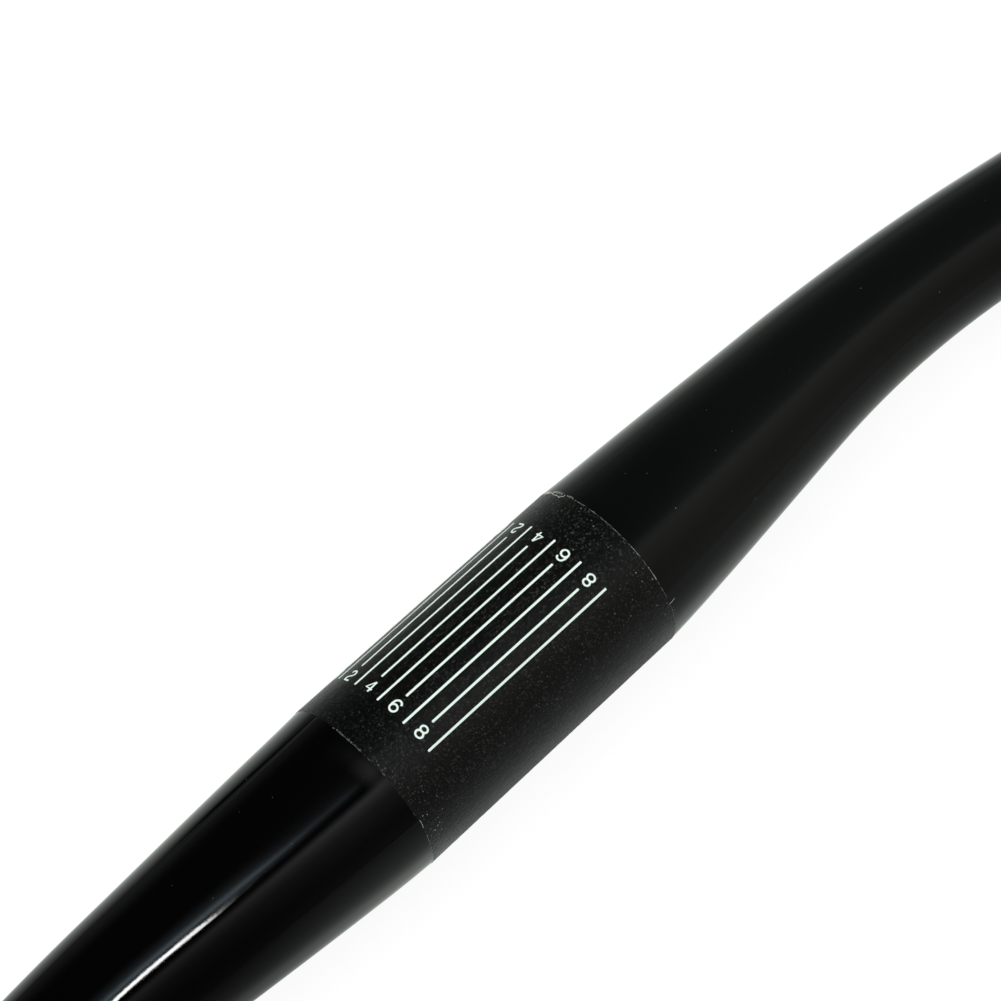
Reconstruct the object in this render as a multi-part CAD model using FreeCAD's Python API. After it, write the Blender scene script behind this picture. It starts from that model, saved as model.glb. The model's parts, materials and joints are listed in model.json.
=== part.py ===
import FreeCAD, Part
import math
import os

from FreeCAD import Placement, Rotation, Vector

# A flat handlebar: one swaged and bent tube with a straight clamp band in the middle.
# The origin is the middle of the clamp band, on its axis. +X runs along the clamp band to the
# rider's right, +Y points forward and +Z up. The bar lies as it comes to rest on a flat surface:
# on the clamp band and on the lower edges of both ends.

# Driving dimensions, in millimetres and degrees.
TIP_WIDTH = 700.0             # between the centres of the two end faces
CLAMP_DIAMETER = 31.8
CLAMP_BAND_LENGTH = 54.7
GRIP_DIAMETER = 22.2
CLAMP_WALL = 2.4
GRIP_WALL = 1.75
END_CHAMFER = 0.4             # broken edges of the cut ends, inside and outside

# The axis: a slight lean forward beside the clamp band, a straight ramp, then the sweep back.
LEAN_ANGLE = 1.55
LEAN_RADIUS = 275.0
RAMP_LENGTH = 38.0
BACK_SWEEP = 9.0              # angle of the grips to the clamp band
SWEEP_RADIUS = 282.0

# The taper's outline on the straightened tube, a curve with one handle at each of its ends.
TAPER_START_ANGLE = 3.0       # slope of the tube wall where it leaves the clamp band
TAPER_START_REACH = 38.0      # length of the handle at the clamp band
TAPER_END_REACH = 45.0        # length of the level handle at the grip
TAPER_SECTIONS = 12           # steps between the circles that each tapered skin is lofted through

CORE_OVERSHOOT = 5.0          # the bore is cut this far past the cut ends
RIM_TOLERANCE = 0.1           # an edge centred this close to a tip is a rim of the cut end

# Derived sizes.
CLAMP_RADIUS = CLAMP_DIAMETER / 2
GRIP_RADIUS = GRIP_DIAMETER / 2
CLAMP_EDGE = CLAMP_BAND_LENGTH / 2
LEAN = math.radians(LEAN_ANGLE)
SWEEP = math.radians(BACK_SWEEP)

ORIGIN = Vector(0, 0, 0)
ALONG_BAR = Vector(1, 0, 0)
UPWARD = Vector(0, 0, 1)


def axis_runs():
    """The right half of the axis up to the grip, as runs of (length, turn to the left in radians)."""
    return [
        (CLAMP_EDGE, 0.0),
        (LEAN_RADIUS * LEAN, LEAN),
        (RAMP_LENGTH, 0.0),
        (SWEEP_RADIUS * (LEAN + SWEEP), -(LEAN + SWEEP)),
    ]


def step_along(point, heading, length, turn):
    """Move along a straight run, or along an arc that turns evenly."""
    chord_heading = heading + turn / 2
    chord = length
    if turn:
        chord = 2 * (length / turn) * math.sin(turn / 2)
    step = Vector(math.cos(chord_heading), math.sin(chord_heading), 0) * chord
    return point + step, heading + turn


def axis_at(distance):
    """Point and heading of the axis at a distance from the middle, measured along the bent axis."""
    point = ORIGIN
    heading = 0.0
    left_over = distance
    for length, turn in axis_runs():
        share = min(1.0, left_over / length)
        point, heading = step_along(point, heading, length * share, turn * share)
        left_over = left_over - length * share
    return step_along(point, heading, left_over, 0.0)


GRIP_START = sum(length for length, turn in axis_runs())
GRIP_ORIGIN = axis_at(GRIP_START)[0]
GRIP_LENGTH = (TIP_WIDTH / 2 - GRIP_ORIGIN.x) / math.cos(SWEEP)
TIP = axis_at(GRIP_START + GRIP_LENGTH)[0]


def upright_disc(distance):
    """Placement that stands a disc across the axis, with its seam at the bottom of the bar."""
    point, heading = axis_at(distance)
    across_x = Rotation(Vector(0, 1, 0), 90)
    turned = Rotation(UPWARD, math.degrees(heading))
    return Placement(point, turned.multiply(across_x))


def section(distance, radius):
    circle = Part.Circle(ORIGIN, UPWARD, radius).toShape()
    circle.Placement = upright_disc(distance)
    return Part.Wire([circle])


def cylinder(distance, radius, length):
    body = Part.makeCylinder(radius, length)
    body.Placement = upright_disc(distance)
    return body


def taper_outline():
    """Outside of the tapered length, drawn as (distance along the axis, radius)."""
    start_drop = TAPER_START_REACH * math.tan(math.radians(TAPER_START_ANGLE))
    outline = Part.BezierCurve()
    outline.setPoles([
        Vector(CLAMP_EDGE, CLAMP_RADIUS, 0),
        Vector(CLAMP_EDGE + TAPER_START_REACH, CLAMP_RADIUS - start_drop, 0),
        Vector(GRIP_START - TAPER_END_REACH, GRIP_RADIUS, 0),
        Vector(GRIP_START, GRIP_RADIUS, 0),
    ])
    return outline


def wall_at(distance):
    """Wall thickness, which thins evenly along the taper from the clamp band to the grip."""
    share = (distance - CLAMP_EDGE) / (GRIP_START - CLAMP_EDGE)
    return CLAMP_WALL + (GRIP_WALL - CLAMP_WALL) * share


def tapered_bend(hollow):
    """The right-hand taper round the bends, as its outside or as the core that hollows it."""
    outline = taper_outline()
    wires = []
    for step in range(TAPER_SECTIONS + 1):
        spot = outline.value(step / TAPER_SECTIONS)
        radius = spot.y
        if hollow:
            radius = spot.y - wall_at(spot.x)
        wires.append(section(spot.x, radius))
    return Part.makeLoft(wires, True, False)


def mirrored(body):
    return body.mirror(ORIGIN, ALONG_BAR)


def bar_body(hollow):
    """The whole bar as a filled body, or the core that is cut out of it."""
    clamp_radius = CLAMP_RADIUS
    grip_radius = GRIP_RADIUS
    grip_length = GRIP_LENGTH
    if hollow:
        clamp_radius = CLAMP_RADIUS - CLAMP_WALL
        grip_radius = GRIP_RADIUS - GRIP_WALL
        grip_length = GRIP_LENGTH + CORE_OVERSHOOT
    clamp_half = cylinder(0.0, clamp_radius, CLAMP_EDGE)
    bend = tapered_bend(hollow)
    grip = cylinder(GRIP_START, grip_radius, grip_length)
    right = [clamp_half, bend, grip]
    left = [mirrored(body) for body in right]
    whole = clamp_half.multiFuse([bend, grip] + left)
    return whole.removeSplitter()


def tip_rims(bar):
    """The four round edges where the tube is cut off, two at each end."""
    rims = []
    for edge in bar.Edges:
        middle = edge.BoundBox.Center
        if abs(abs(middle.x) - TIP.x) < RIM_TOLERANCE:
            rims.append(edge)
    return rims


def rest_roll():
    """Angle about the clamp axis at which both ends come down to the level under the clamp band."""
    return math.degrees(math.asin((CLAMP_RADIUS - GRIP_RADIUS) / -TIP.y))


def handlebar():
    bar = bar_body(False).cut(bar_body(True))
    bar = bar.makeChamfer(END_CHAMFER, tip_rims(bar))
    bar.rotate(ORIGIN, ALONG_BAR, rest_roll())
    return bar


os.makedirs("parts", exist_ok=True)
handlebar().exportStep("parts/handlebar.step")
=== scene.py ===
"""Flat handlebar: a lacquered tube with a gritty clamp band and a printed clamp scale."""

import json
import math
import random

import bmesh
import bpy
from bpy.props import FloatProperty, FloatVectorProperty, IntProperty, PointerProperty
from mathutils import Matrix, Vector


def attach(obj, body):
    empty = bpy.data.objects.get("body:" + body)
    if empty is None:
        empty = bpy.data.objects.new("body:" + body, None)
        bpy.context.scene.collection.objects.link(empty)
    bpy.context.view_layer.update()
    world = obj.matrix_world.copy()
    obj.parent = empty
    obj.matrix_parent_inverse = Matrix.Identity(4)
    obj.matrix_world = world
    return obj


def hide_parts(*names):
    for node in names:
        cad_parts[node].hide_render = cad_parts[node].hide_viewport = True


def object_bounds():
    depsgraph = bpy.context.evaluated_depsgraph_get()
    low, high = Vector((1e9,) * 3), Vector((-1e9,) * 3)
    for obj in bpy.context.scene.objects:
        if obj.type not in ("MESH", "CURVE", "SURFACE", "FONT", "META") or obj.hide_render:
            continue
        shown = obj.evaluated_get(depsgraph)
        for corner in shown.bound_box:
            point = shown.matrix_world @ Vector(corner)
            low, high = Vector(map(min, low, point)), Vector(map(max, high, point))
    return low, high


bl_info = {
    "name": "Flat handlebar",
    "version": (1, 0, 0),
    "blender": (4, 5, 0),
    "location": "View3D > Sidebar > Handlebar",
    "description": "Models a lacquered flat handlebar with its gritty clamp band and clamp scale",
    "category": "Add Mesh",
}

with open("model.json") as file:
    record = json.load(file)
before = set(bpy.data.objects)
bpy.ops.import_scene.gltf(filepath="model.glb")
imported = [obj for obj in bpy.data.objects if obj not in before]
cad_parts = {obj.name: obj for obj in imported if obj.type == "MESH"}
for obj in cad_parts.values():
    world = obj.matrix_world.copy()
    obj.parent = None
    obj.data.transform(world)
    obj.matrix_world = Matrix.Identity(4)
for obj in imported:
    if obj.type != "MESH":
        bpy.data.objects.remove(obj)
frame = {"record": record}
cad_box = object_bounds()

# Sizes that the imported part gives: lengths in millimetres, angles in radians.
MOUNTS = {mount["name"]: mount for mount in frame["record"]["mounts"]}
CLAMP = MOUNTS["stem_clamp"]["dims"]
GRIP = MOUNTS["right_grip"]["dims"]
BORE = MOUNTS["right_end_bore"]["dims"]
GRIP_AXIS = MOUNTS["right_grip"]["axis"]
SWEEP = math.acos(GRIP_AXIS[0])
REST_ROLL = math.atan2(-GRIP_AXIS[2], -GRIP_AXIS[1])

MM = 0.001
ORIGIN = (0.0, 0.0, 0.0)
SAME_PLACE = 1e-6   # points closer than this, in metres, are one point
NO_CHANGE = 1e-9    # a turn or a change of radius smaller than this is left out


def size_property(name, description, millimetres):
    """A length that a user would change, given in millimetres."""
    return FloatProperty(name=name, description=description, default=millimetres * MM,
                         unit="LENGTH", subtype="DISTANCE", precision=5)


def angle_property(name, description, degrees):
    """An angle that a user would change, given in degrees."""
    return FloatProperty(name=name, description=description, default=math.radians(degrees),
                         unit="ROTATION", subtype="ANGLE")


def colour_property(name, description, colour):
    """A colour that a user would change, as linear red, green and blue."""
    return FloatVectorProperty(name=name, description=description, default=colour,
                               subtype="COLOR", size=3, min=0.0, max=1.0)


def place_property(name, description, metres):
    """A place that a user would change, in metres."""
    return FloatVectorProperty(name=name, description=description, default=metres, size=3,
                               unit="LENGTH", subtype="TRANSLATION")


class HandlebarTube(bpy.types.PropertyGroup):
    """Sizes and colours of the lacquered tube."""

    sides: IntProperty(name="Sides", description="Facets round the tube", default=256, min=16)
    taper_steps: IntProperty(name="Taper steps", description="Rings along a taper", default=28, min=4)
    clamp_radius: size_property("Clamp radius", "Outside radius of the clamp band", CLAMP["r_mm"])
    band_length: size_property("Band length", "Length of the clamp band", CLAMP["length_mm"])
    grip_radius: size_property("Grip radius", "Outside radius of the grips", GRIP["r_mm"])
    grip_length: size_property("Grip length", "Straight length of each grip", GRIP["length_mm"])
    bore_radius: size_property("Bore radius", "Inside radius at the grips", BORE["r_mm"])
    clamp_wall: size_property("Clamp wall", "Wall thickness under the clamp band", 2.4)
    end_chamfer: size_property("End chamfer", "Broken edges of the cut ends", 0.4)
    lean: angle_property("Lean", "Turn forward beside the clamp band", 1.55)
    lean_radius: size_property("Lean radius", "Radius of the axis in the lean", 275.0)
    ramp_length: size_property("Ramp length", "Straight run between lean and sweep", 38.0)
    sweep: angle_property("Sweep", "Angle of the grips to the clamp band", math.degrees(SWEEP))
    sweep_radius: size_property("Sweep radius", "Radius of the axis in the sweep", 282.0)
    rest_roll: angle_property("Rest roll", "Turn at which the bar lies at rest",
                              math.degrees(REST_ROLL))
    taper_angle: angle_property("Taper angle", "Slope of the wall beside the clamp band", 3.0)
    taper_start: size_property("Taper start reach", "Handle of the taper at the band", 38.0)
    taper_end: size_property("Taper end reach", "Handle of the taper at the grip", 45.0)
    lacquer: colour_property("Lacquer", "Colour of the gloss lacquer", (0.0005, 0.0005, 0.0005))
    dust: colour_property("Dust", "Colour of the dust on the lacquer", (0.13, 0.14, 0.125))


class HandlebarCoat(bpy.types.PropertyGroup):
    """Sizes and colours of the gritty coat on the clamp band."""

    cells_round: IntProperty(name="Cells round", description="Grains round the band", default=416)
    cells_along: IntProperty(name="Cells along", description="Grains along the band", default=226)
    thickness: size_property("Thickness", "Mean height of the coat over the tube", 0.025)
    grain: size_property("Grain", "Height of the grains", 0.018)
    edge_wander: size_property("Edge wander", "How far the coat's edge wanders", 0.03)
    hollow: colour_property("Hollows", "Colour between the grains", (0.0004, 0.0005, 0.0004))
    base: colour_property("Coat", "Colour of the grains", (0.034, 0.0368, 0.0347))
    # Painted glints: pale dots on the grit that stand for the glints of its grains.
    painted_glint: colour_property("Fleck", "Colour of the pale grains", (0.36, 0.39, 0.37))
    fray: colour_property("Fray", "Colour of the frayed edge", (0.30, 0.36, 0.34))
    flake: colour_property("Flake", "Colour of the yellowed flakes", (0.56, 0.57, 0.465))
    crumb: colour_property("Crumb", "Colour of the crumbs on the left edge", (0.1, 0.145, 0.133))


class HandlebarScale(bpy.types.PropertyGroup):
    """Sizes and colour of the printed clamp scale."""

    middle: angle_property("Middle line", "Place of the middle line, from the top forward", 67.142)
    step: angle_property("Line step", "Angle from one line to the next", 10.426)
    lines: IntProperty(name="Lines", description="Lines on each side of the middle", default=9)
    shift: size_property("Shift", "How far the print sits off the middle of the band", -0.035)
    width: size_property("Line width", "Width of the lines", 0.4)
    long_half: size_property("Long line", "Half the length of a long line", 19.55)
    short_half: size_property("Short line", "Half the length of a numbered line", 16.05)
    figure_height: size_property("Figure height", "Height of the figures", 2.62)
    figure_width: size_property("Figure width", "Width of the figures", 1.82)
    figure_middle: size_property("Figure place", "Middle of the figures along the bar", 18.32)
    figure_drop: angle_property("Right figures", "How far back the right figures sit", 0.3)
    stroke: size_property("Stroke", "Width of the figures' strokes", 0.385)
    height: size_property("Ink height", "Height of the ink's face over the tube", 0.047)
    ink: colour_property("Ink", "Colour of the print", (0.8, 0.935, 0.855))


class HandlebarStage(bpy.types.PropertyGroup):
    """Floor, light and camera."""

    floor_width: size_property("Floor width", "Width of the floor", 6000.0)
    floor_level: FloatProperty(name="Floor level", description="Share of the floor's own white",
                               default=0.93, min=0.0, max=1.0)
    sky_level: FloatProperty(name="Sky level", description="Even light from all round",
                             default=0.5, min=0.0)
    lamp_power: FloatProperty(name="Lamp", description="Soft lamp above the bar", default=6.5,
                              unit="POWER")
    lamp_size: size_property("Lamp size", "Width of the soft lamp", 700.0)
    lamp_place: place_property("Lamp place", "Where the soft lamp hangs", (-0.35, 0.1, 0.95))
    lens: FloatProperty(name="Lens", description="Focal length in millimetres", default=92.317)
    camera_place: place_property("Camera place", "Where the camera stands",
                                 (-0.116799, -0.120338, 0.379132))
    camera_turn: FloatVectorProperty(
        name="Camera turn", description="Which way the camera looks", size=3,
        default=(math.radians(27.7637), 0.0, math.radians(-44.9002)),
        unit="ROTATION", subtype="EULER")


# Modelling helpers.

def select_only(*objects):
    """Leave just these objects selected, the last one active."""
    bpy.ops.object.select_all(action="DESELECT")
    for obj in objects:
        obj.select_set(True)
        bpy.context.view_layer.objects.active = obj


def edit(obj):
    """Enter edit mode on one object with all of it selected."""
    select_only(obj)
    bpy.ops.object.mode_set(mode="EDIT")
    bpy.ops.mesh.select_all(action="SELECT")


def leave_edit():
    """Go back to object mode."""
    bpy.ops.object.mode_set(mode="OBJECT")


def settle(obj):
    """Move an object's place, turn and scale into its mesh."""
    select_only(obj)
    bpy.ops.object.transform_apply(location=True, rotation=True, scale=True)


def turn_selected(angle, axis, centre):
    """Turn what is selected in edit mode, anticlockwise seen from the tip of the axis."""
    bpy.ops.transform.rotate(value=-angle, orient_axis=axis, orient_type="GLOBAL",
                             center_override=centre)


def select_edges(obj, wanted):
    """In edit mode, select just the edges for which wanted(first point, second point) holds."""
    bpy.ops.mesh.select_all(action="DESELECT")
    bpy.ops.mesh.select_mode(type="EDGE")
    mesh = bmesh.from_edit_mesh(obj.data)
    for edge in mesh.edges:
        edge.select = wanted(edge.verts[0].co, edge.verts[1].co)
    mesh.select_flush_mode()
    bmesh.update_edit_mesh(obj.data)


def join(objects, name):
    """Join objects into one, named for the piece."""
    select_only(*objects)
    if len(objects) > 1:
        bpy.ops.object.join()
    piece = bpy.context.object
    piece.name = name
    piece.data.name = name
    return piece


def round_stroke(points, thickness, steps=4, roundness=1, closed=False, straight=False):
    """A round stroke through points, as a mesh, with a number of steps from point to point."""
    bpy.ops.curve.primitive_bezier_curve_add()
    stroke = bpy.context.object
    path = stroke.data
    path.splines.clear()
    spline = path.splines.new("BEZIER")
    spline.bezier_points.add(len(points) - 1)
    for knot, point in zip(spline.bezier_points, points):
        knot.co = point
        knot.handle_left_type = knot.handle_right_type = "VECTOR" if straight else "AUTO"
    spline.use_cyclic_u = closed
    spline.resolution_u = steps
    path.bevel_depth = thickness / 2
    path.bevel_resolution = roundness
    path.use_fill_caps = True
    select_only(stroke)
    bpy.ops.object.convert(target="MESH")
    return bpy.context.object


def copies(source, turns):
    """Copies of a small piece, each placed by a matrix, and the source removed."""
    made = []
    for turn in turns:
        select_only(source)
        bpy.ops.object.duplicate(linked=False)
        copy = bpy.context.object
        copy.matrix_world = turn
        settle(copy)
        made.append(copy)
    bpy.data.objects.remove(source)
    return made


def finish_piece(objects, name, degrees, material):
    """Join objects into a piece that faces outwards, is shaded smooth where it turns by less than an
    angle, has its finish and rides on the bar."""
    piece = join(objects, name)
    edit(piece)
    bpy.ops.mesh.normals_make_consistent(inside=False)
    leave_edit()
    bpy.ops.object.shade_smooth_by_angle(angle=math.radians(degrees))
    settle(piece)
    piece.data.materials.clear()
    piece.data.materials.append(material)
    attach(piece, "root")
    return piece


# Material helpers.

def new_material(name):
    """A node material with its shader, and the place on the object that its patterns follow."""
    material = bpy.data.materials.new(name)
    material.use_nodes = True
    tree = material.node_tree
    shader = tree.nodes["Principled BSDF"]
    return material, tree, shader, add_node(tree, "ShaderNodeTexCoord").outputs["Object"]


def add_node(tree, kind, settings=None, **inputs):
    """Add a node. Inputs are named by their socket, and are linked or set."""
    node = tree.nodes.new(kind)
    for name, value in (settings or {}).items():
        setattr(node, name, value)
    for name, value in inputs.items():
        feed(tree, node.inputs[name], value)
    return node


def feed(tree, socket, value):
    """Link an output to a socket, or set the socket."""
    if isinstance(value, bpy.types.NodeSocket):
        tree.links.new(value, socket)
    else:
        socket.default_value = value


def math_node(tree, operation, first, second=0.0, third=0.0):
    """A Math node's result."""
    node = tree.nodes.new("ShaderNodeMath")
    node.operation = operation
    for socket, value in zip(node.inputs, (first, second, third)):
        feed(tree, socket, value)
    return node.outputs[0]


def product(tree, first, *others):
    """Values multiplied together."""
    for other in others:
        first = math_node(tree, "MULTIPLY", first, other)
    return first


def split(tree, place):
    """A place's parts along the bar, forward and up."""
    return tuple(add_node(tree, "ShaderNodeSeparateXYZ", Vector=place).outputs)


def ease(tree, value, low, high, start=0.0, end=1.0):
    """A smooth step of a value between two limits."""
    node = tree.nodes.new("ShaderNodeMapRange")
    node.interpolation_type = "SMOOTHSTEP"
    feed(tree, node.inputs["Value"], value)
    node.inputs["From Min"].default_value = low
    node.inputs["From Max"].default_value = high
    feed(tree, node.inputs["To Min"], start)
    feed(tree, node.inputs["To Max"], end)
    return node.outputs["Result"]


def hump(tree, value, rise, fall):
    """The product of two smooth steps of one value, each given as ease's numbers."""
    return product(tree, ease(tree, value, *rise), ease(tree, value, *fall))


def mix_colour(tree, share, first, second):
    """A blend of two colours."""
    node = tree.nodes.new("ShaderNodeMix")
    node.data_type = "RGBA"
    feed(tree, node.inputs["Factor"], share)
    colours = [socket for socket in node.inputs if socket.type == "RGBA"]
    for socket, value in zip(colours, (first, second)):
        linked = isinstance(value, bpy.types.NodeSocket)
        feed(tree, socket, value if linked else (*value, 1.0))
    return [socket for socket in node.outputs if socket.type == "RGBA"][0]


def scaled_colour(tree, colour, level):
    """A colour times a number that varies."""
    node = add_node(tree, "ShaderNodeVectorMath", {"operation": "SCALE"}, Scale=level)
    feed(tree, node.inputs[0], colour)
    return node.outputs[0]


def added_colour(tree, first, second):
    """Two colours added together."""
    node = add_node(tree, "ShaderNodeVectorMath", {"operation": "ADD"})
    feed(tree, node.inputs[0], first)
    feed(tree, node.inputs[1], second)
    return node.outputs[0]


def add_shader(tree, kind, first, second, share=None):
    """Two shaders added together, or mixed by a share of the second."""
    node = tree.nodes.new(kind)
    tree.links.new(first.outputs[0], node.inputs[-2])
    tree.links.new(second.outputs[0], node.inputs[-1])
    if share is not None:
        tree.links.new(share, node.inputs[0])
    return node


def dress(tree, shader, colour, roughness, ior=1.5):
    """Give a finish its colour, roughness and refraction."""
    for name, value in (("Base Color", colour), ("Roughness", roughness), ("IOR", ior)):
        feed(tree, shader.inputs[name], value)


def add_bump(tree, shader, height, strength, depth):
    """Raise a finish by a height that varies, up to a depth in metres."""
    bump = add_node(tree, "ShaderNodeBump", Strength=strength, Distance=depth, Height=height)
    feed(tree, shader.inputs["Normal"], bump.outputs["Normal"])


def noise(tree, place, scale, detail=2.0):
    """Soft noise at a scale in features per metre."""
    node = add_node(tree, "ShaderNodeTexNoise", Vector=place, Scale=scale, Detail=detail)
    return node.outputs["Fac"]


def cells(tree, place, cell):
    """Cells of a size in metres: distance from each one's middle, and three chance values for it."""
    node = add_node(tree, "ShaderNodeTexVoronoi", Vector=place, Scale=1.0 / cell)
    chances = add_node(tree, "ShaderNodeSeparateColor", Color=node.outputs["Color"]).outputs
    return node.outputs["Distance"], chances["Red"], chances["Green"], chances["Blue"]


def dots(tree, place, cell, radius, share):
    """Scattered round dots, pale to bright: one in each cell of a size in metres, kept for a share
    of the cells."""
    distance, red, green, blue = cells(tree, place, cell)
    size = math_node(tree, "MULTIPLY_ADD", green, 0.7, 0.45)
    near = math_node(tree, "DIVIDE", distance, product(tree, size, radius / cell))
    dot = ease(tree, near, 1.0, 0.5)
    kept = math_node(tree, "LESS_THAN", red, share)
    return product(tree, dot, kept, math_node(tree, "POWER", blue, 1.6))


def speckle(tree, place, cell, contrast):
    """Grains of one size in metres, each of an even tone. A high contrast leaves most of them dark."""
    return math_node(tree, "POWER", cells(tree, place, cell)[1], contrast)


def lacquer_material(colours):
    """Gloss black lacquer with a little dust."""
    material, tree, shader, place = new_material("gloss_lacquer")
    dust = dots(tree, place, cell=3.0 * MM, radius=0.12 * MM, share=0.8)
    haze = noise(tree, place, scale=220.0, detail=3.0)
    gloss = ease(tree, haze, 0.3, 0.75, 0.035, 0.06)
    dress(tree, shader, mix_colour(tree, dust, colours.lacquer, colours.dust),
          math_node(tree, "MULTIPLY_ADD", dust, 0.4, gloss))
    peel = noise(tree, place, scale=900.0, detail=1.0)
    add_bump(tree, shader, peel, strength=0.014, depth=0.1 * MM)
    return material


def coat_material(colours, band_edge):
    """Near-black grit with pale dots that are painted glints of its grains. They are strongest towards
    the edges of the band. Grit and glints are darker at the back and to the left: painted shade."""
    material, tree, shader, place = new_material("gritty_coat")
    along, ahead, up = split(tree, place)
    full = ease(tree, along, -0.5 * band_edge, 0.5 * band_edge, 0.5, 1.0)
    off_middle = math_node(tree, "ABSOLUTE", along)
    towards_edge = ease(tree, off_middle, 0.55 * band_edge, band_edge, 0.25, full)
    # Painted shade: the next three lines make the grit and its pale dots darker at the back and towards
    # the left.
    forward = ease(tree, ahead, -10.0 * MM, -3.0 * MM, 0.65, 1.0)
    deepest_left_shade = ease(tree, ahead, -6.0 * MM, 1.0 * MM, 0.85, 0.45)
    left_shade = ease(tree, along, -0.9 * band_edge, -0.3 * band_edge, deepest_left_shade, 1.0)
    patch = ease(tree, noise(tree, place, scale=170.0), 0.35, 0.65, 0.4, 1.0)
    mottle = noise(tree, place, scale=3000.0, detail=1.0)
    tone = speckle(tree, place, cell=0.26 * MM, contrast=15.0)
    # Painted shade on the grit's own colour.
    even = product(tree, forward, left_shade)
    ground = mix_colour(tree, product(tree, tone, even), colours.hollow, colours.base)
    # Pale dots on the grit: painted glints of its grains, strongest towards the band's edges.
    fine = dots(tree, place, cell=0.34 * MM, radius=0.12 * MM, share=0.75)
    faint = product(tree, fine, patch, 0.26)
    large = dots(tree, place, cell=0.8 * MM, radius=0.15 * MM, share=0.75)
    strong = product(tree, large, towards_edge)
    # The pale dots get the same painted shade, a little weaker at the back.
    shown = product(tree, math_node(tree, "SQRT", forward), left_shade)
    grains = product(tree, math_node(tree, "MAXIMUM", faint, strong), shown)
    dress(tree, shader, mix_colour(tree, grains, ground, colours.painted_glint),
          ease(tree, mottle, 0.3, 0.7, 0.3, 0.42), ior=1.6)
    add_bump(tree, shader, mottle, strength=0.8, depth=0.06 * MM)
    return material


def ink_material(colours):
    """White screen print, a little worn."""
    material, tree, shader, place = new_material("scale_ink")
    worn = ease(tree, noise(tree, place, scale=1800.0, detail=3.0), 0.62, 0.78, 0.0, 0.12)
    faded = tuple(0.8 * part for part in colours.ink)
    gloss = ease(tree, noise(tree, place, scale=1500.0), 0.3, 0.7, 0.45, 0.6)
    dress(tree, shader, mix_colour(tree, worn, colours.ink, faded), gloss)
    return material


def fray_material(colours):
    """Pale torn edge of the coat, yellowed at two places on the right and dull on the left."""
    material, tree, shader, place = new_material("frayed_coat")
    along, ahead, up = split(tree, place)
    right = math_node(tree, "GREATER_THAN", along, 0.0)
    forward = ease(tree, ahead, 7.0 * MM, 9.0 * MM)
    backward = hump(tree, ahead, (-13.4 * MM, -13.9 * MM), (-14.4 * MM, -14.25 * MM))
    inner = ease(tree, along, 27.6 * MM, 27.4 * MM)
    ends = math_node(tree, "MAXIMUM", product(tree, forward, inner), backward)
    yellowed = product(tree, right, ends)
    dull = math_node(tree, "SUBTRACT", ease(tree, ahead, -1.2 * MM, -0.2 * MM), right)
    pale = mix_colour(tree, dull, colours.fray, colours.crumb)
    tone = mix_colour(tree, yellowed, pale, colours.flake)
    dark = tuple(0.25 * part for part in colours.fray)
    least = product(tree, yellowed, 0.35)
    shade = ease(tree, noise(tree, place, scale=2200.0), 0.35, 0.62, least)
    dress(tree, shader, mix_colour(tree, shade, dark, tone),
          ease(tree, shade, 0.0, 1.0, 0.8, 0.55))
    return material


# The lacquered tube.

def axis_runs(sizes):
    """The right half of the axis up to the grip, as runs of (length, turn to the left)."""
    bend = sizes.lean + sizes.sweep
    return [
        (sizes.band_length / 2, 0.0),
        (sizes.lean_radius * sizes.lean, sizes.lean),
        (sizes.ramp_length, 0.0),
        (sizes.sweep_radius * bend, -bend),
    ]


def step_along(point, heading, length, turn):
    """Move along a straight run, or along an arc that turns evenly."""
    chord = length
    if turn:
        chord = 2 * (length / turn) * math.sin(turn / 2)
    way = heading + turn / 2
    return point + Vector((math.cos(way), math.sin(way), 0.0)) * chord, heading + turn


def axis_at(sizes, distance):
    """Point and heading of the axis at a distance from the middle, along the bent axis."""
    point, heading, left_over = Vector(), 0.0, distance
    for length, turn in axis_runs(sizes):
        share = min(1.0, left_over / length)
        point, heading = step_along(point, heading, length * share, turn * share)
        left_over -= length * share
    return step_along(point, heading, left_over, 0.0)


def taper_at(sizes, share):
    """Distance along the axis, outside radius and wall at a share of the taper's curve."""
    start = sizes.band_length / 2
    end = sum(length for length, turn in axis_runs(sizes))
    drop = sizes.taper_start * math.tan(sizes.taper_angle)
    poles = [
        Vector((start, sizes.clamp_radius)),
        Vector((start + sizes.taper_start, sizes.clamp_radius - drop)),
        Vector((end - sizes.taper_end, sizes.grip_radius)),
        Vector((end, sizes.grip_radius)),
    ]
    weights = [(1 - share) ** 3, 3 * share * (1 - share) ** 2, 3 * share ** 2 * (1 - share),
               share ** 3]
    spot = sum((pole * weight for pole, weight in zip(poles, weights)), Vector((0.0, 0.0)))
    grip_wall = sizes.grip_radius - sizes.bore_radius
    along = (spot.x - start) / (end - start)
    return spot.x, spot.y, sizes.clamp_wall + (grip_wall - sizes.clamp_wall) * along


def tube_outline(sizes):
    """Half of the tube's wall as (distance along the axis, radius): out along it, back inside."""
    outside = []
    inside = []
    for step in range(sizes.taper_steps + 1):
        distance, radius, wall = taper_at(sizes, step / sizes.taper_steps)
        outside.append((distance, radius))
        inside.append((distance, radius - wall))
    cut = sizes.end_chamfer
    end = outside[-1][0] + sizes.grip_length + cut
    rim = [
        (end - cut, sizes.grip_radius),
        (end, sizes.grip_radius - cut),
        (end, sizes.bore_radius + cut),
        (end - cut, sizes.bore_radius),
    ]
    inside.reverse()
    return outside + rim + inside + [(0.0, sizes.clamp_radius - sizes.clamp_wall)]


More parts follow.
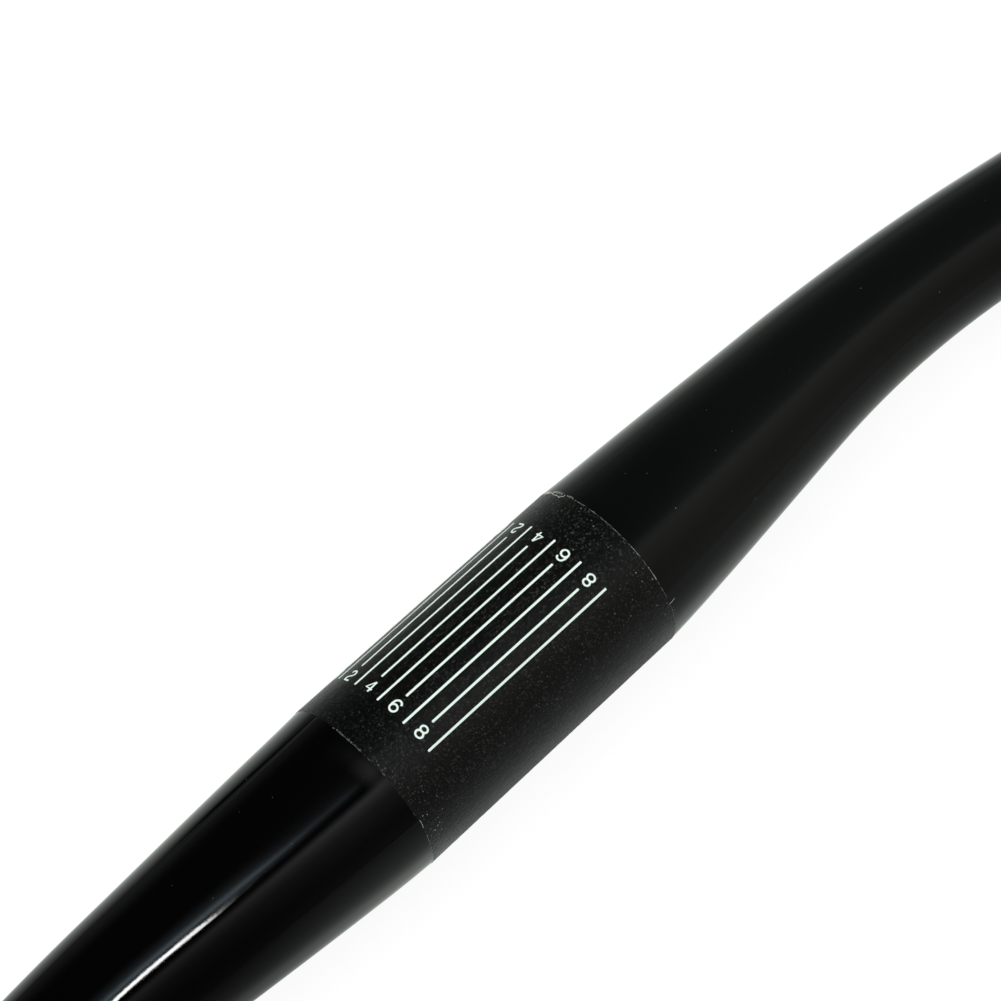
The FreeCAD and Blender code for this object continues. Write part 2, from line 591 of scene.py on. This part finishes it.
class HANDLEBAR_OT_tube(bpy.types.Operator):
    """Model the lacquered tube by carrying a ring along its bent axis"""

    bl_idname = "handlebar.tube"
    bl_label = "Lacquered tube"
    bl_options = {"REGISTER", "UNDO"}

    def execute(self, context):
        sizes = context.scene.handlebar_tube
        bpy.ops.mesh.primitive_circle_add(vertices=sizes.sides, radius=sizes.clamp_radius,
                                          fill_type="NOTHING", rotation=(0.0, math.pi / 2, 0.0))
        half = context.object
        settle(half)
        edit(half)
        point, heading, radius = Vector(), 0.0, sizes.clamp_radius
        for distance, next_radius in tube_outline(sizes):
            next_point, next_heading = axis_at(sizes, distance)
            bpy.ops.mesh.extrude_region_move(
                TRANSFORM_OT_translate={"value": next_point - point})
            if abs(next_heading - heading) > NO_CHANGE:
                turn_selected(next_heading - heading, "Z", next_point)
            if abs(next_radius - radius) > NO_CHANGE:
                bpy.ops.transform.resize(value=(next_radius / radius,) * 3,
                                         center_override=next_point)
            point, heading, radius = next_point, next_heading, next_radius
        leave_edit()
        mirror = half.modifiers.new("mirror", "MIRROR")
        mirror.merge_threshold = SAME_PLACE
        bpy.ops.object.modifier_apply(modifier=mirror.name)
        edit(half)
        bpy.ops.mesh.remove_doubles(threshold=SAME_PLACE)
        turn_selected(sizes.rest_roll, "X", ORIGIN)
        leave_edit()
        tube = finish_piece([half], "bar_tube", 25, lacquer_material(sizes))
        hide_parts("handlebar")
        return {"FINISHED"}


# The gritty coat.

GRAIN_SEED = 11
RIM_SEED = 20       # one less for the left rim, one more for the right


class HANDLEBAR_OT_clamp_coat(bpy.types.Operator):
    """Model the gritty coat as a thin sleeve of raised grains"""

    bl_idname = "handlebar.clamp_coat"
    bl_label = "Gritty coat"
    bl_options = {"REGISTER", "UNDO"}

    def execute(self, context):
        tube = context.scene.handlebar_tube
        sizes = context.scene.handlebar_coat
        edge = tube.band_length / 2
        bpy.ops.mesh.primitive_cylinder_add(
            vertices=sizes.cells_round, radius=tube.clamp_radius + sizes.thickness,
            depth=tube.band_length, end_fill_type="NOTHING", rotation=(0.0, math.pi / 2, 0.0))
        sleeve = context.object
        settle(sleeve)
        edit(sleeve)
        select_edges(sleeve, lambda first, second: abs(first.x - second.x) > edge)
        bpy.ops.mesh.subdivide(number_cuts=sizes.cells_along)
        bpy.ops.mesh.select_all(action="SELECT")
        bpy.ops.transform.vertex_random(offset=sizes.grain, uniform=0.0, normal=1.0,
                                        seed=GRAIN_SEED)
        inner = (tube.clamp_radius - sizes.thickness) / (tube.clamp_radius + sizes.thickness)
        for side in (-1, 1):
            select_edges(sleeve, lambda first, second: min(first.x * side, second.x * side)
                         > edge - SAME_PLACE)
            bpy.ops.transform.vertex_random(offset=sizes.edge_wander, uniform=1.0, normal=0.0,
                                            seed=RIM_SEED + side)
            bpy.ops.mesh.extrude_region_move()
            bpy.ops.transform.resize(value=(1.0, inner, inner), center_override=ORIGIN)
        bpy.ops.mesh.select_all(action="DESELECT")
        bpy.ops.mesh.select_non_manifold(use_wire=False, use_multi_face=False,
                                         use_non_contiguous=False, use_verts=False)
        bpy.ops.mesh.bridge_edge_loops()
        leave_edit()
        finish_piece([sleeve], "clamp_coat", 50, coat_material(sizes, edge))
        return {"FINISHED"}


# The printed clamp scale.

LINE_CORNER = 0.32  # rounding of a line's corners, as a share of its width
FIGURE_RISE = 1.4   # rise of a figure's round strokes, as a share of the lines' height
FIGURE_BOX = 0.7    # width of the box that the figures are drawn in, one unit high
# Strokes of each figure, as (closed, straight, points).
FIGURE_STROKES = {
    0: [(True, False, [(0.0, 0.41), (0.26, 0.0), (0.0, -0.41), (-0.26, 0.0)])],
    2: [(False, False, [(-0.2, 0.22), (-0.13, 0.355), (0.03, 0.395), (0.19, 0.33), (0.235, 0.2),
                        (0.17, 0.05), (-0.1, -0.1), (-0.235, -0.22), (-0.25, -0.4)]),
        (False, True, [(-0.25, -0.41), (0.26, -0.41)])],
    4: [(False, True, [(0.10, 0.41), (-0.26, -0.17), (0.28, -0.17)]),
        (False, True, [(0.12, 0.41), (0.12, -0.41)])],
    6: [(True, False, [(0.0, 0.07), (0.255, -0.17), (0.0, -0.41), (-0.255, -0.17)]),
        (False, False, [(-0.255, -0.19), (-0.255, 0.12), (-0.16, 0.34), (0.02, 0.41), (0.20, 0.33),
                        (0.245, 0.21)])],
    8: [(True, False, [(0.0, 0.41), (0.225, 0.21), (0.0, 0.01), (-0.225, 0.21)]),
        (True, False, [(0.0, 0.03), (0.255, -0.19), (0.0, -0.41), (-0.255, -0.19)])],
}


def scale_line(sizes, radius, half_length):
    """One line of the scale on the top of the band: a flat bar of ink with softened corners."""
    bpy.ops.mesh.primitive_cube_add(size=1.0)
    line = bpy.context.object
    line.scale = (2 * half_length, sizes.width, 2 * sizes.height)
    settle(line)
    edit(line)
    select_edges(line, lambda first, second: abs(first.z - second.z) > sizes.height)
    bpy.ops.mesh.bevel(offset=LINE_CORNER * sizes.width, segments=3, affect="EDGES")
    bpy.ops.mesh.select_all(action="SELECT")
    bpy.ops.transform.translate(value=(0.0, 0.0, radius))
    leave_edit()
    return line


def figure(sizes, radius, digit):
    """One figure of the scale at the top of the band, its foot towards the left end."""
    thickness = sizes.stroke / sizes.figure_height
    strokes = []
    for closed, straight, points in FIGURE_STROKES[digit]:
        flat_points = [(across, up, 0.0) for across, up in points]
        strokes.append(round_stroke(flat_points, thickness, 8, 2, closed, straight))
    made = join(strokes, "figure")
    flat = 2 * FIGURE_RISE * sizes.height / thickness
    edit(made)
    bpy.ops.transform.resize(value=(sizes.figure_width / FIGURE_BOX, sizes.figure_height, flat),
                             center_override=ORIGIN)
    turn_selected(-math.pi / 2, "Z", ORIGIN)
    bpy.ops.transform.translate(value=(-sizes.figure_middle, 0.0, radius))
    leave_edit()
    return made


class HANDLEBAR_OT_clamp_scale(bpy.types.Operator):
    """Model the printed lines and figures that the stem is set by"""

    bl_idname = "handlebar.clamp_scale"
    bl_label = "Clamp scale"
    bl_options = {"REGISTER", "UNDO"}

    def execute(self, context):
        sizes = context.scene.handlebar_scale
        radius = context.scene.handlebar_tube.clamp_radius
        half_turn = Matrix.Rotation(math.pi, 4, "Z")
        shift = Matrix.Translation((sizes.shift, 0.0, 0.0))

        def at(number, drop=0.0):
            """Turn from the top of the band to a numbered line."""
            return shift @ Matrix.Rotation(number * sizes.step - sizes.middle + drop, 4, "X")

        numbers = range(-sizes.lines, sizes.lines + 1)
        long_lines = scale_line(sizes, radius, sizes.long_half)
        short_lines = scale_line(sizes, radius, sizes.short_half)
        print_work = copies(long_lines, [at(n) for n in numbers if n % 2])
        print_work += copies(short_lines, [at(n) for n in numbers if n % 2 == 0])
        for digit in FIGURE_STROKES:
            places = []
            for number in sorted({-digit, digit}):
                places += [at(number), at(number, sizes.figure_drop) @ half_turn]
            print_work += copies(figure(sizes, radius, digit), places)
        finish_piece(print_work, "clamp_scale", 40, ink_material(sizes))
        return {"FINISHED"}


# The frayed edge of the coat.

def on_band(along, angle, radius):
    """A point on the band: metres along the bar and degrees forward from the top."""
    turn = math.radians(angle)
    return Vector((along, radius * math.sin(turn), radius * math.cos(turn)))


def crumb(seed):
    """One ragged crumb of coat, one unit across, flat on its back."""
    bpy.ops.mesh.primitive_ico_sphere_add(subdivisions=1, radius=0.5)
    lump = bpy.context.object
    edit(lump)
    bpy.ops.transform.vertex_random(offset=0.16, uniform=1.0, normal=0.0, seed=seed)
    bpy.ops.transform.resize(value=(1.0, 1.0, 0.35), center_override=ORIGIN)
    leave_edit()
    return lump


def crumb_place(along, angle, radius, length, width, twist):
    """Where a crumb lies on the band, turned on the spot and scaled."""
    size = Matrix.Diagonal((length, width, min(length, width), 1.0))
    seat = Matrix.Translation((along, 0.0, radius)) @ Matrix.Rotation(twist, 4, "Z") @ size
    return Matrix.Rotation(-math.radians(angle), 4, "X") @ seat


SCRAP_SEAT = 0.02 * MM     # height of the scraps over the tube
THREAD_LIFT = 0.01 * MM    # height of the thin threads over the other scraps
FRAY_SEED = 7
CRUMB_SHAPES = 4
# Thin threads along the coat's edges, as (side, first and last degree forward from the top, longest
# thread and widest gap in degrees, greatest thickness in millimetres).
THREAD_RUNS = (
    (1, 33, -52, 8.0, 2.0, 0.055), (1, -68, -150, 8.0, 4.0, 0.055), (1, 170, 62, 8.0, 4.0, 0.055),
    (-1, 21, 2, 3.2, 1.8, 0.1), (-1, -1, -9, 2.0, 2.0, 0.04), (-1, -86, -150, 5.0, 3.0, 0.06),
    (-1, 170, 60, 5.0, 3.0, 0.06),
)
# Crumbs along the coat's edges, as (side, first and last degree forward from the top, count, least way
# in from the edge, spread of it and largest crumb in millimetres).
CRUMB_RUNS = (
    (-1, 21, -1, 26, -0.05, 0.15, 0.36), (-1, 21, -2, 16, -0.05, 1.0, 0.2),
    (-1, -10, -21, 12, 0.1, 1.1, 0.24), (-1, -52, -76, 34, 0.6, 4.0, 0.17),
    (1, 33, -52, 26, -0.05, 0.5, 0.18), (1, 58, 33, 10, 0.0, 0.9, 0.18),
    (-1, 180, 24, 60, -0.05, 0.8, 0.26), (1, 180, 60, 50, -0.05, 0.8, 0.22),
    (1, -62, -160, 40, -0.05, 0.8, 0.2), (-1, -80, -160, 30, -0.05, 0.8, 0.22),
)
# Strips torn off the coat's edges, as (thickness, spots): millimetres along the bar and degrees forward
# from the top.
TORN_STRIPS = (
    (0.34, ((26.94, 58.8), (27.05, 55.8), (27.2, 53.8))),
    (0.28, ((27.2, 58.2), (27.38, 55.2), (27.3, 52.6))),
    (0.24, ((26.98, 57.4), (27.22, 53.3), (27.21, 50.7), (26.95, 47.5))),
    (0.17, ((27.1, 48.6), (26.87, 46.9), (26.89, 43.8), (26.7, 40.6), (26.62, 39.5))),
    (0.18, ((26.62, 39.7), (26.8, 39.1), (26.96, 38.6), (27.11, 37.2), (27.5, 37.6))),
    (0.2, ((27.5, 50.2), (27.62, 46.5), (27.62, 42.5), (27.5, 40.2))),
    (0.06, ((27.55, 49.8), (27.85, 46.5), (27.87, 42.5), (27.65, 39.0))),
    (0.1, ((27.45, 35.4), (27.62, 31.8), (27.45, 29.6))),
    (0.045, ((27.32, 50.5), (27.36, 47.0), (27.33, 43.5), (27.2, 40.5))),
    (0.045, ((27.46, 50.0), (27.5, 46.5), (27.48, 43.0), (27.38, 40.0))),
    (0.07, ((27.32, 24.5), (27.34, 22.5), (27.31, 20.0))),
    (0.08, ((27.31, 13.6), (27.34, 11.8), (27.32, 10.0))),
    (0.08, ((27.33, -3.5), (27.31, -6.0), (27.33, -8.0))),
    (0.08, ((27.32, -18.5), (27.35, -21.5), (27.32, -25.0))),
    (0.12, ((27.33, -33.5), (27.35, -37.0), (27.33, -40.5), (27.3, -43.5))),
    (0.06, ((28.6, -61.6), (28.0, -62.3), (27.5, -62.4), (27.05, -63.4))),
    (0.045, ((27.3, -64.0), (27.45, -68.0), (27.3, -74.0))),
    (0.028, ((27.7, -65.5), (27.85, -71.0), (27.9, -78.0))),
    (0.018, ((-27.3, -42.0), (-27.32, -46.0), (-27.3, -50.0))),
    (0.115, ((-27.1, -53.8), (-27.12, -56.7), (-27.25, -59.5))),
    (0.045, ((-27.25, -59.5), (-27.36, -68.5), (-27.49, -79.7), (-27.45, -85.2))),
)
# Larger crumbs on the band beside its left edge and specks of dust on the lacquer, as (millimetres
# along the bar, degrees forward from the top, size in millimetres).
LEFT_CRUMBS = (
    (-24.17, -41.7, 0.3), (-26.33, -53.0, 0.3), (-25.63, -54.6, 0.26), (-24.3, -61.6, 0.3),
    (-24.53, -65.4, 0.32), (-24.97, -66.0, 0.32), (-25.74, -67.6, 0.36), (-24.72, -71.1, 0.34),
    (-23.07, -58.8, 0.26), (-24.06, -67.2, 0.26), (-26.37, -64.1, 0.26), (-23.75, -39.0, 0.22),
)
DUST_SPECKS = (
    (37.7, -19.7, 0.2), (50.1, -9.6, 0.13), (54.8, 15.6, 0.11), (54.8, -7.6, 0.09), (38.7, 8.6, 0.1),
    (50.8, -53.1, 0.12), (-46.6, 24.4, 0.09),
)


def strewn_threads(chance, edge, radius):
    """Thin threads along the coat's edges, with lengths and gaps by chance."""
    threads = []
    for side, first, last, longest, gap, thickest in THREAD_RUNS:
        angle = first
        while angle > last:
            reach = chance.uniform(0.35, 1.0) * longest
            spots = [on_band(side * (edge + chance.uniform(-0.06, 0.05) * MM),
                             angle - reach * part / 3, radius + THREAD_LIFT)
                     for part in range(4)]
            threads.append(round_stroke(spots, chance.uniform(0.6, 1.0) * thickest * MM))
            angle -= reach + chance.uniform(0.1, 1.0) * gap
    return threads


def strewn_crumbs(chance, edge, radius):
    """Places of the crumbs along the coat's edges, with sizes and turns by chance."""
    places = []
    for side, first, last, count, start, depth, largest in CRUMB_RUNS:
        for number in range(count):
            inward = (start + abs(chance.gauss(0.0, 0.5)) * depth) * MM
            length = chance.uniform(0.45, 1.0) * largest * MM
            places.append(crumb_place(side * (edge - inward), chance.uniform(last, first), radius,
                                      length, length * chance.uniform(0.5, 0.9),
                                      chance.uniform(0.0, math.pi)))
    return places


class HANDLEBAR_OT_coat_frays(bpy.types.Operator):
    """Model the torn threads, crumbs and flakes along both edges of the coat"""

    bl_idname = "handlebar.coat_frays"
    bl_label = "Frayed coat edge"
    bl_options = {"REGISTER", "UNDO"}

    def execute(self, context):
        tube = context.scene.handlebar_tube
        edge = tube.band_length / 2
        radius = tube.clamp_radius + SCRAP_SEAT
        chance = random.Random(FRAY_SEED)
        scraps = strewn_threads(chance, edge, radius)
        for thickness, spots in TORN_STRIPS:
            points = [on_band(along * MM, angle, radius) for along, angle in spots]
            scraps.append(round_stroke(points, thickness * MM))
        places = strewn_crumbs(chance, edge, radius)
        for along, angle, size in LEFT_CRUMBS:
            places.append(crumb_place(along * MM, angle, radius, size * MM, 0.7 * size * MM, 0.6))
        lacquer = context.scene.objects["bar_tube"]
        for along, angle, size in DUST_SPECKS:
            seat = lacquer.closest_point_on_mesh(on_band(along * MM, angle, tube.clamp_radius))[1]
            places.append(crumb_place(seat.x, math.degrees(math.atan2(seat.y, seat.z)),
                                      math.hypot(seat.y, seat.z), size * MM, size * MM, 0.0))
        for shape in range(CRUMB_SHAPES):
            scraps += copies(crumb(shape + 1), places[shape::CRUMB_SHAPES])
        material = fray_material(context.scene.handlebar_coat)
        finish_piece(scraps, "coat_frays", 40, material)
        return {"FINISHED"}


# The stage.

def light_path_switch(tree, *rays):
    """One for any of the named kinds of ray, zero for the others."""
    path = add_node(tree, "ShaderNodeLightPath")
    share = path.outputs[rays[0]]
    for ray in rays[1:]:
        share = math_node(tree, "MAXIMUM", share, path.outputs[ray])
    return share


def stops_ramp(tree, share, stops):
    """A colour ramp through stops of (place from 0 to 1, colour)."""
    node = tree.nodes.new("ShaderNodeValToRGB")
    feed(tree, node.inputs["Fac"], share)
    ramp = node.color_ramp
    while len(ramp.elements) > 1:
        ramp.elements.remove(ramp.elements[-1])
    for number, (place, colour) in enumerate(stops):
        element = ramp.elements[0] if number == 0 else ramp.elements.new(place)
        element.position = place
        element.color = (*colour, 1.0)
    return node.outputs["Color"]


def tinted(level, red=1.0, blue=1.0):
    """A grey level with a share of red and of blue."""
    return (level * red, level, level * blue)


def tinted_stops(stops, red=1.0, blue=1.0):
    """Stops of (place, level) with one share of red and of blue."""
    return [(place, tinted(level, red, blue)) for place, level in stops]


FLOOR_REACH = 0.06  # metres beside the bar within which the floor's stops lie finest


def floor_glow(tree, ahead, stops):
    """Brightness of the floor in the gloss: stops of (millimetres in front, level), finest beside
    the bar."""
    reach = math_node(tree, "ADD", math_node(tree, "ABSOLUTE", ahead), FLOOR_REACH)
    share = math_node(tree, "MULTIPLY_ADD", math_node(tree, "DIVIDE", ahead, reach), 0.5, 0.5)
    places = [(0.5 + 0.5 * far * MM / (abs(far) * MM + FLOOR_REACH), level) for far, level in stops]
    return stops_ramp(tree, share, tinted_stops(places, 0.93, 0.95))


def floor_gloss(tree, sideways, ahead):
    """The floor as the lacquer mirrors it: a painted pool of light, brightest beside the bar, with a
    painted dark line and painted shade near the bar's foot.
    """
    left = floor_glow(tree, ahead, [
        (-900, 0.09), (-265, 0.13), (-130, 0.16), (-86, 0.19), (-63, 0.22), (-49, 0.26),
        (-39, 0.32), (-32, 0.45), (-26, 0.61), (-18, 0.52), (20, 0.9), (30, 0.8), (39, 0.7),
        (47, 0.61), (63, 0.49), (80, 0.345), (92, 0.28), (105, 0.2), (120, 0.13), (140, 0.11),
        (300, 0.115), (450, 0.1), (720, 0.075), (1500, 0.065)])
    right = floor_glow(tree, ahead, [
        (-900, 0.19), (-400, 0.2), (-147, 0.25), (-90, 0.235), (-63, 0.25), (-47, 0.28),
        (-30, 0.35), (-18, 0.42), (20, 0.93), (34, 0.72), (45, 0.61), (58, 0.5), (75, 0.44),
        (95, 0.38), (120, 0.3), (160, 0.25), (330, 0.215), (900, 0.225)])
    behind_bar = ease(tree, sideways, -75.0 * MM, -20.0 * MM, 0.6, 1.25)
    before_bar = ease(tree, sideways, -80.0 * MM, -45.0 * MM, 0.78, 1.0)
    fading = ease(tree, ahead, -10.0 * MM, 10.0 * MM, behind_bar, before_bar)
    # Painted dark line: a straight band of shade across the floor's gloss.
    slant = math_node(tree, "MULTIPLY_ADD", sideways, -2.4, ahead)
    painted_dark_line = hump(tree, slant, (165.0 * MM, 210.0 * MM), (285.0 * MM, 228.0 * MM))
    depth = ease(tree, sideways, -56.0 * MM, -28.0 * MM, 0.0, -0.93)
    dimming = math_node(tree, "MULTIPLY_ADD", painted_dark_line, depth, 1.0)
    left = scaled_colour(tree, left, product(tree, fading, dimming))
    glow = mix_colour(tree, ease(tree, sideways, 0.0, 100.0 * MM), left, right)
    # Painted shade in the floor's gloss near the bar's foot, beside the band.
    painted_foot_shade = hump(tree, ahead, (-55.0 * MM, -15.0 * MM, 0.0, -0.4), (10.0 * MM, -5.0 * MM))
    beside_band = hump(tree, sideways, (-24.0 * MM, -14.0 * MM), (36.0 * MM, 26.0 * MM))
    return scaled_colour(tree, glow, math_node(tree, "MULTIPLY_ADD", painted_foot_shade, beside_band, 1.0))


def floor_material(stage):
    """White floor that keeps the bar's shadow, with a glow of its own in the gloss."""
    material, tree, shader, place = new_material("white_floor")
    tree.nodes.remove(shader)
    sideways, ahead, up = split(tree, place)
    gloss = add_node(tree, "ShaderNodeEmission", Color=floor_gloss(tree, sideways, ahead))
    white = add_node(tree, "ShaderNodeEmission", Strength=stage.floor_level)
    soft = add_node(tree, "ShaderNodeBsdfDiffuse", Color=(0.1, 0.1, 0.1, 1.0))
    plain = add_node(tree, "ShaderNodeBsdfDiffuse", Color=(0.8, 0.8, 0.8, 1.0))
    seen = add_shader(tree, "ShaderNodeAddShader", white, soft)
    for ray, shown in (("Is Glossy Ray", gloss), ("Is Camera Ray", seen),
                       ("Is Transmission Ray", seen)):
        plain = add_shader(tree, "ShaderNodeMixShader", plain, shown,
                           light_path_switch(tree, ray))
    tree.links.new(plain.outputs[0], tree.nodes["Material Output"].inputs["Surface"])
    return material


ROOM_SPAN = 240.0   # degrees of the room that a ramp covers


def room_ramp(tree, degrees, stops):
    """The room round the bar: stops of (degrees forward from straight up, colour)."""
    share = math_node(tree, "MULTIPLY_ADD", degrees, 1.0 / ROOM_SPAN, 0.5)
    return stops_ramp(tree, share, [(angle / ROOM_SPAN + 0.5, colour) for angle, colour in stops])


def room_walls(tree, degrees, across):
    """A dark ceiling and a grey wall at the back, with a pale patch beside the band."""
    left = room_ramp(tree, degrees, tinted_stops((
        (-100, 0.08), (-70, 0.05), (-62, 0.065), (-56, 0.085), (-50, 0.108), (-46, 0.13),
        (-43, 0.15), (-40, 0.195), (-37, 0.255), (-34, 0.325), (-31.5, 0.415), (-30, 0.45),
        (-28.5, 0.42), (-26.3, 0.255), (-25, 0.155), (-23.5, 0.085), (-22, 0.03), (-20, 0.005),
        (-12, 0.03), (-4, 0.04), (4, 0.035), (12, 0.022), (40, 0.016), (60, 0.015), (70, 0.018),
        (75, 0.035), (80, 0.053), (86, 0.075), (92, 0.1))))
    right = room_ramp(tree, degrees, [(place, tinted(level, red, blue)) for place, level, red, blue in (
        (-100, 0.21, 0.97, 0.88), (-86, 0.203, 0.97, 0.88), (-70, 0.19, 0.97, 0.88),
        (-58, 0.205, 0.97, 0.86), (-47, 0.255, 0.97, 0.88), (-38, 0.29, 0.96, 0.9),
        (-31, 0.315, 0.95, 0.93), (-26, 0.29, 0.94, 0.93), (-21, 0.205, 0.9, 0.94),
        (-17, 0.15, 0.86, 0.94), (-12, 0.118, 0.84, 0.93), (-5, 0.1, 0.84, 0.93),
        (5, 0.09, 0.84, 0.92), (20, 0.08, 0.84, 0.92), (50, 0.08, 0.84, 0.9),
        (62, 0.09, 0.84, 0.9), (70, 0.107, 0.82, 0.9), (82, 0.15, 0.8, 0.9), (92, 0.19, 0.8, 0.9))])
    gain = ease(tree, degrees, -22.0, -12.0, 0.1, 0.45)
    lit = math_node(tree, "MULTIPLY_ADD", gain, ease(tree, across, 0.44, 0.56), 1.0)
    right = scaled_colour(tree, right, lit)
    left = scaled_colour(tree, left, ease(tree, across, -0.09, 0.10, 0.42, 1.15))
    walls = mix_colour(tree, ease(tree, across, 0.16, 0.46), left, right)
    pale_patch = room_ramp(tree, degrees, tinted_stops((
        (-30, 0.0), (-24, 0.2), (-17, 0.27), (-10, 0.36), (-4, 0.29), (1, 0.23), (6, 0.17),
        (12, 0.09), (20, 0.07), (35, 0.03), (50, 0.0))))
    beside_band = hump(tree, across, (0.106, 0.157), (0.2, 0.155))
    return added_colour(tree, walls, scaled_colour(tree, pale_patch, beside_band))


def from_window(tree, degrees, across):
    """Degrees forward from the middle of the window, which leans and bows across the room."""
    lower = math_node(tree, "MINIMUM", across, 0.0)
    bowed = product(tree, lower, lower, -1500.0)
    leaning = product(tree, math_node(tree, "MINIMUM", across, 0.035), 75.0)
    return math_node(tree, "ADD", math_node(tree, "ADD", degrees, 9.2),
                     math_node(tree, "ADD", leaning, bowed))


def room_window(tree, past_window, across):
    """A soft bluish window to the left."""
    window = room_ramp(tree, past_window, tinted_stops((
        (-9.6, 0.0), (-7.0, 0.05), (-4.8, 0.16), (-2.4, 0.45), (-1.2, 0.8), (0.0, 1.04),
        (1.3, 0.94), (2.6, 0.68), (3.9, 0.45), (5.2, 0.31), (6.5, 0.22), (9.1, 0.13),
        (13.0, 0.06), (16.8, 0.027), (21.0, 0.0)), 0.8, 1.13))
    ends = product(tree, hump(tree, across, (-0.02, 0.075, 1.45, 0.29), (0.12, 0.085)),
                   ease(tree, across, -0.1, -0.06))
    return scaled_colour(tree, window, ends)


LAMP_LEVEL = 27.0


def room_lamp(tree, past_window, across):
    """A strip lamp under the window, narrower towards its tip."""
    narrowed = math_node(tree, "ADD", past_window, ease(tree, across, -0.02, -0.007, 0.0, 2.4))
    edges = product(tree, ease(tree, past_window, -11.7, -9.7),
                    ease(tree, narrowed, -5.2, -7.2))
    ends = hump(tree, across, (-0.008, -0.022), (-0.075, -0.05))
    lamp = product(tree, edges, ends, LAMP_LEVEL)
    return add_node(tree, "ShaderNodeCombineXYZ", X=lamp, Y=lamp, Z=lamp).outputs[0]


def studio_room(stage):
    """White behind the bar, even light on it, and a dim room in its gloss."""
    world = bpy.data.worlds.new("studio_room")
    bpy.context.scene.world = world
    world.use_nodes = True
    world.cycles.sampling_method = "NONE"
    tree = world.node_tree
    across, forward, up = split(tree, add_node(tree, "ShaderNodeTexCoord").outputs["Generated"])
    degrees = math_node(tree, "DEGREES", math_node(tree, "ARCTAN2", forward, up))
    past_window = from_window(tree, degrees, across)
    room = room_walls(tree, degrees, across)
    room = added_colour(tree, room, room_window(tree, past_window, across))
    room = added_colour(tree, room, room_lamp(tree, past_window, across))
    white = light_path_switch(tree, "Is Camera Ray", "Is Transmission Ray")
    gloss = light_path_switch(tree, "Is Glossy Ray")
    shade = mix_colour(tree, gloss, tinted(stage.sky_level), room)
    background = tree.nodes["Background"]
    feed(tree, background.inputs["Color"], mix_colour(tree, white, shade, tinted(1.0)))
    background.inputs["Strength"].default_value = 1.0


def hang_lamp(stage):
    """A soft round lamp above the bar, turned to its middle and left out of the gloss."""
    bpy.ops.object.light_add(type="AREA", location=stage.lamp_place)
    lamp = bpy.context.object
    lamp.name = "soft_lamp"
    lamp.data.shape = "DISK"
    lamp.data.size = stage.lamp_size
    lamp.data.energy = stage.lamp_power
    lamp.rotation_euler = (-lamp.location).to_track_quat("-Z", "Y").to_euler()
    lamp.visible_glossy = False


def stand_camera(stage):
    """The camera that the photo was taken with, as fitted to it."""
    bpy.ops.object.camera_add(location=stage.camera_place, rotation=stage.camera_turn)
    camera = bpy.context.object
    camera.name = "photo_camera"
    camera.data.lens = stage.lens
    camera.data.sensor_fit = "HORIZONTAL"
    camera.data.sensor_width = 36.0
    camera.data.clip_start = 0.01
    return camera


class HANDLEBAR_OT_stage(bpy.types.Operator):
    """Set up the white floor, the soft light and the camera"""

    bl_idname = "handlebar.stage"
    bl_label = "Stage"
    bl_options = {"REGISTER", "UNDO"}

    def execute(self, context):
        scene = context.scene
        stage = scene.handlebar_stage
        scene.view_settings.view_transform = "Standard"
        bpy.ops.mesh.primitive_plane_add(size=stage.floor_width, location=(0.0, 0.0, cad_box[0].z))
        floor = context.object
        floor.name = "floor"
        floor.data.materials.append(floor_material(stage))
        studio_room(stage)
        hang_lamp(stage)
        scene.camera = stand_camera(stage)
        return {"FINISHED"}


class HANDLEBAR_PT_panel(bpy.types.Panel):
    """Lists the pieces of the bar and the stage."""

    bl_idname = "HANDLEBAR_PT_panel"
    bl_label = "Flat handlebar"
    bl_space_type = "VIEW_3D"
    bl_region_type = "UI"
    bl_category = "Handlebar"

    def draw(self, context):
        for operator in OPERATORS:
            self.layout.operator(operator.bl_idname, text=operator.bl_label)


OPERATORS = (
    HANDLEBAR_OT_tube,
    HANDLEBAR_OT_clamp_coat,
    HANDLEBAR_OT_clamp_scale,
    HANDLEBAR_OT_coat_frays,
    HANDLEBAR_OT_stage,
)
GROUPS = {
    "handlebar_tube": HandlebarTube,
    "handlebar_coat": HandlebarCoat,
    "handlebar_scale": HandlebarScale,
    "handlebar_stage": HandlebarStage,
}


def register():
    for name, group in GROUPS.items():
        bpy.utils.register_class(group)
        setattr(bpy.types.Scene, name, PointerProperty(type=group))
    for kind in (*OPERATORS, HANDLEBAR_PT_panel):
        bpy.utils.register_class(kind)


def unregister():
    for kind in (HANDLEBAR_PT_panel, *reversed(OPERATORS)):
        bpy.utils.unregister_class(kind)
    for name, group in GROUPS.items():
        delattr(bpy.types.Scene, name)
        bpy.utils.unregister_class(group)


def main():
    register()
    bpy.ops.handlebar.tube()
    bpy.ops.handlebar.clamp_coat()
    bpy.ops.handlebar.clamp_scale()
    bpy.ops.handlebar.coat_frays()
    bpy.ops.handlebar.stage()


if __name__ == "__main__":
    main()
